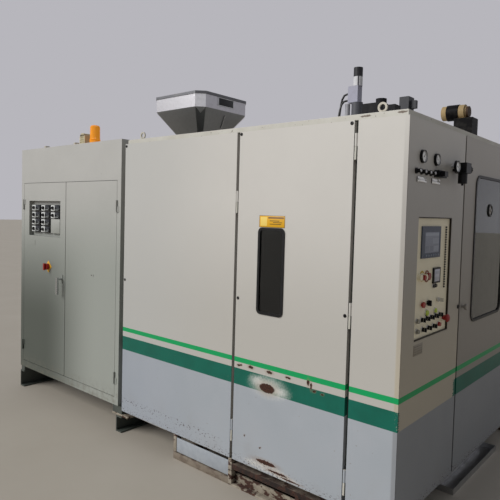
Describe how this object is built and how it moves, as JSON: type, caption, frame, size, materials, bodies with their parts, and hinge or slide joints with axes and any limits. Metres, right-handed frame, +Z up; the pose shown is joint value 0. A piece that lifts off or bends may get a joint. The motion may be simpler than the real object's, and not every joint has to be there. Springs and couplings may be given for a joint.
{
  "type": "blow moulding machine",
  "caption": "Extrusion blow moulder: guarded enclosure with doors, window and control column, extruder with hopper, shuttle clamp with mould halves, and a control cabinet.",
  "frame": {"origin": "on the floor under the middle of the machine's length, halfway between the front and rear panels", "axes": "+X along the machine towards the operator end, +Y from the front panels towards the rear, +Z up"},
  "size_m": [3.452, 2.004, 2.52],
  "materials": {
    "panel_paint": "light warm grey coat, satin",
    "cabinet_paint": "grey-cream coat, satin",
    "frame_paint": "dark grey coat, matt",
    "base_paint": "cream coat, worn and rusty",
    "machine_paint": "blue-grey machine enamel",
    "gear_paint": "grey-green machine enamel",
    "motor_paint": "blue-grey enamel",
    "beige_paint": "beige and dark brown enamel",
    "plate_paint": "warm grey coat, satin",
    "steel_bright": "brushed",
    "steel_dark": "dark, oiled",
    "steel_ground": "ground and bright",
    "mould_metal": "machined",
    "seal_rubber": "matt black",
    "belt_rubber": "matt black",
    "hose_rubber": "matt black",
    "window_glass": "clear, slightly dusty",
    "black_plastic": "black, matt",
    "screen_plastic": "dark blue-grey",
    "red_plastic": "red",
    "orange_plastic": "orange lens",
    "cream_plastic": "cream",
    "gear_plastic": "light grey and black"
  },
  "bodies": {
    "machine": {"base_frame": "base_paint", "enclosure_frame": "frame_paint", "roof_panels": "panel_paint", "rear_panels": "panel_paint", "left_side_panels": "panel_paint", "middle_front_panel": "panel_paint", "front_window_seal": "seal_rubber", "front_window_glass": "window_glass", "operator_panel": "panel_paint", "control_plate": "plate_paint", "touch_screen": "screen_plastic", "counter_display": "black_plastic", "pressure_gauges": "steel_bright", "air_regulator": "black_plastic", "solenoid_valve": "black_plastic", "rear_end_panel": "panel_paint", "drip_tray": "steel_bright", "cabinet_body": "cabinet_paint", "support_channels": "frame_paint", "cabinet_gear": "gear_plastic", "beacon": "orange_plastic", "buzzer": "cream_plastic", "lifting_eyes": "base_paint", "hopper": "steel_bright", "extruder_stand": "frame_paint", "extruder_barrel": "steel_dark", "heater_bands": "steel_bright", "gearbox": "gear_paint", "drive_motor": "motor_paint", "drive_belts": "belt_rubber", "belt_guard": "panel_paint", "extrusion_head": "steel_dark", "head_actuator": "mould_metal", "actuator_hoses": "hose_rubber", "clamp_bed": "machine_paint", "blow_station": "machine_paint", "roof_units": "beige_paint"},
    "left_front_door": {"left_front_door": "panel_paint"},
    "right_front_door": {"right_front_door": "panel_paint"},
    "window_door": {"window_door": "panel_paint", "window_door_seal": "seal_rubber", "window_door_glass": "window_glass"},
    "cabinet_left_door": {"cabinet_left_door": "cabinet_paint", "instruments": "black_plastic"},
    "cabinet_right_door": {"cabinet_right_door": "cabinet_paint"},
    "cabinet_handle": {"cabinet_handle": "steel_ground"},
    "main_switch": {"main_switch": "red_plastic"},
    "emergency_button": {"emergency_button": "red_plastic"},
    "start_button": {"start_button": "black_plastic"},
    "stop_button": {"stop_button": "red_plastic"},
    "mode_selector": {"mode_selector": "black_plastic"},
    "key_switch": {"key_switch": "steel_ground"},
    "regulator_knob": {"regulator_knob": "black_plastic"},
    "extruder_screw": {"extruder_screw": "steel_ground"},
    "gearbox_pulley": {"gearbox_pulley": "steel_dark"},
    "motor_pulley": {"motor_pulley": "steel_dark"},
    "clamp_carriage": {"clamp_carriage": "machine_paint"},
    "front_mould": {"front_mould": "mould_metal"},
    "rear_mould": {"rear_mould": "mould_metal"},
    "blow_pin": {"blow_pin": "steel_ground"}
  },
  "joints": [
    {"name": "left_front_door_hinge", "type": "hinge", "parent": "machine", "child": "left_front_door", "pos_m": [0.727, -0.971, 1], "axis": [0, 0, 1], "range_deg": [0, 110]},
    {"name": "right_front_door_hinge", "type": "hinge", "parent": "machine", "child": "right_front_door", "pos_m": [1.438, -0.971, 1], "axis": [0, 0, 1], "range_deg": [-110, 0]},
    {"name": "window_door_hinge", "type": "hinge", "parent": "machine", "child": "window_door", "pos_m": [1.686, 0.616, 1], "axis": [0, 0, 1], "range_deg": [0, 110]},
    {"name": "cabinet_left_hinge", "type": "hinge", "parent": "machine", "child": "cabinet_left_door", "pos_m": [-1.647, -0.982, 1], "axis": [0, 0, 1], "range_deg": [-110, 0]},
    {"name": "cabinet_right_hinge", "type": "hinge", "parent": "machine", "child": "cabinet_right_door", "pos_m": [-0.359, -0.982, 1], "axis": [0, 0, 1], "range_deg": [0, 100]},
    {"name": "cabinet_handle_turn", "type": "hinge", "parent": "cabinet_left_door", "child": "cabinet_handle", "pos_m": [-1.05, -0.995, 0.968], "axis": [0, 1, 0], "range_deg": [0, 90]},
    {"name": "main_switch_turn", "type": "hinge", "parent": "cabinet_left_door", "child": "main_switch", "pos_m": [-1.247, -0.985, 1.046], "axis": [0, 1, 0], "range_deg": [0, 90]},
    {"name": "emergency_push", "type": "slide", "parent": "machine", "child": "emergency_button", "axis": [-1, 0, 0], "range_m": [0, 0.005], "stiffness_N_per_m": 600},
    {"name": "start_push", "type": "slide", "parent": "machine", "child": "start_button", "axis": [-1, 0, 0], "range_m": [0, 0.004], "stiffness_N_per_m": 400},
    {"name": "stop_push", "type": "slide", "parent": "machine", "child": "stop_button", "axis": [-1, 0, 0], "range_m": [0, 0.004], "stiffness_N_per_m": 400},
    {"name": "mode_selector_turn", "type": "hinge", "parent": "machine", "child": "mode_selector", "pos_m": [1.68, -0.683, 1.108], "axis": [1, 0, 0], "range_deg": [-45, 45]},
    {"name": "key_switch_turn", "type": "hinge", "parent": "machine", "child": "key_switch", "pos_m": [1.68, -0.568, 1.113], "axis": [1, 0, 0], "range_deg": [0, 90]},
    {"name": "regulator_knob_turn", "type": "hinge", "parent": "machine", "child": "regulator_knob", "pos_m": [1.733, -0.385, 1.752], "axis": [0, 1, 0], "continuous": true},
    {"name": "gearbox_pulley_spin", "type": "hinge", "parent": "machine", "child": "gearbox_pulley", "pos_m": [-1.39, 0.165, 1.5], "axis": [1, 0, 0], "continuous": true},
    {"name": "motor_pulley_spin", "type": "hinge", "parent": "machine", "child": "motor_pulley", "pos_m": [-1.39, 0.165, 0.33], "axis": [1, 0, 0], "continuous": true},
    {"name": "screw_spin", "type": "hinge", "parent": "machine", "child": "extruder_screw", "pos_m": [-0.11, 0.165, 1.6], "axis": [1, 0, 0], "continuous": true},
    {"name": "carriage_slide", "type": "slide", "parent": "machine", "child": "clamp_carriage", "axis": [1, 0, 0], "range_m": [0, 0.36]},
    {"name": "front_mould_slide", "type": "slide", "parent": "clamp_carriage", "child": "front_mould", "axis": [0, 1, 0], "range_m": [0, 0.1]},
    {"name": "rear_mould_slide", "type": "slide", "parent": "clamp_carriage", "child": "rear_mould", "axis": [0, -1, 0], "range_m": [0, 0.1]},
    {"name": "blow_pin_slide", "type": "slide", "parent": "machine", "child": "blow_pin", "axis": [0, 0, -1], "range_m": [0, 0.17]}
  ],
  "couplings": [
    {"joint": "motor_pulley_spin", "follows": "gearbox_pulley_spin", "ratio": 1.9459},
    {"joint": "screw_spin", "follows": "gearbox_pulley_spin", "ratio": 0.0667},
    {"joint": "rear_mould_slide", "follows": "front_mould_slide", "ratio": 1}
  ]
}
